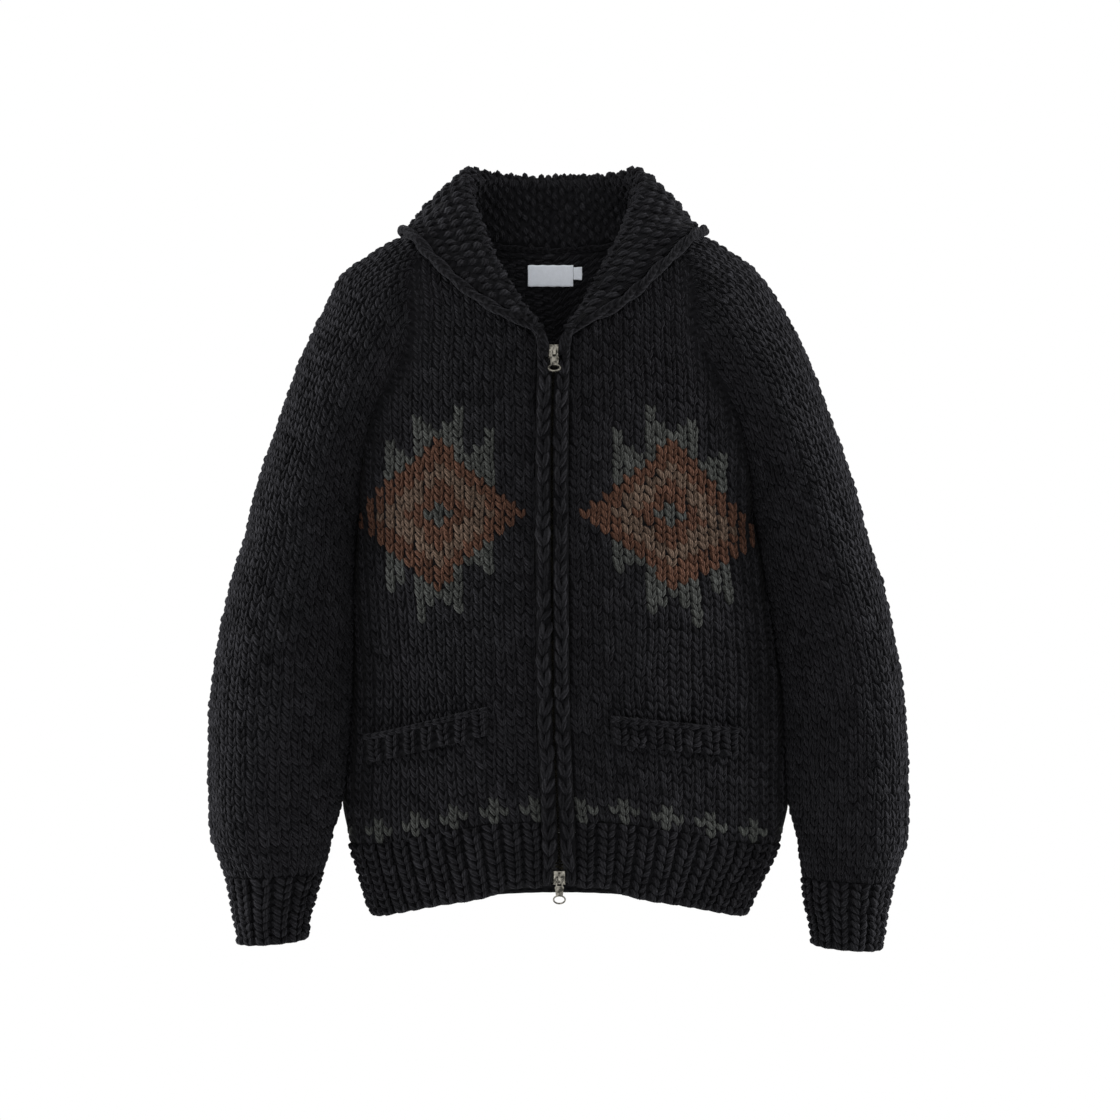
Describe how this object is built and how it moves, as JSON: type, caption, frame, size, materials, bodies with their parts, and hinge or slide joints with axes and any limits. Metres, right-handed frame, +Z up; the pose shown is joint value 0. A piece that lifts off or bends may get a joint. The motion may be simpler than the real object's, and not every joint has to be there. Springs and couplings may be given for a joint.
{
  "type": "hand-knit zip cardigan",
  "caption": "Heavy raglan zip cardigan in worn form, hollow, with shawl collar, ribbed hem and cuffs and welt pockets.",
  "frame": {"origin": "between the two points where neck and shoulders meet, where the wearer's shoulders hold the garment up", "axes": "+Z up, -Y to the front, +X to the wearer's left"},
  "size_m": [0.7161, 0.2315, 0.807],
  "materials": {
    "wool_black": "matt knitted wool",
    "zip_tape": "woven tape",
    "zip_metal": "antique nickel",
    "label": "woven satin"
  },
  "bodies": {
    "garment": {"front_left": "wool_black", "front_right": "wool_black", "back": "wool_black", "sleeve_left": "wool_black", "sleeve_right": "wool_black", "hem_rib_left": "wool_black", "hem_rib_right": "wool_black", "hem_rib_back": "wool_black", "cuff_left": "wool_black", "cuff_right": "wool_black", "collar": "wool_black", "collar_cord": "wool_black", "edging_left": "wool_black", "edging_right": "wool_black", "pocket_welt_left": "wool_black", "pocket_welt_right": "wool_black", "zip_tape_left": "zip_tape", "zip_tape_right": "zip_tape", "slider_top": "zip_metal", "slider_bottom": "zip_metal", "neck_label": "label", "size_label": "label"},
    "upper_pull": {"pull_top": "zip_metal"},
    "lower_pull": {"pull_bottom": "zip_metal"}
  },
  "joints": [
    {"name": "upper_pull_hinge", "type": "hinge", "parent": "garment", "child": "upper_pull", "pos_m": [-0.00412, -0.09449, -0.1068], "axis": [1, 0, 0], "range_deg": [-150, 0]},
    {"name": "lower_pull_hinge", "type": "hinge", "parent": "garment", "child": "lower_pull", "pos_m": [0.00087, -0.10278, -0.63619], "axis": [1, 0, 0], "range_deg": [-140, 12]}
  ]
}
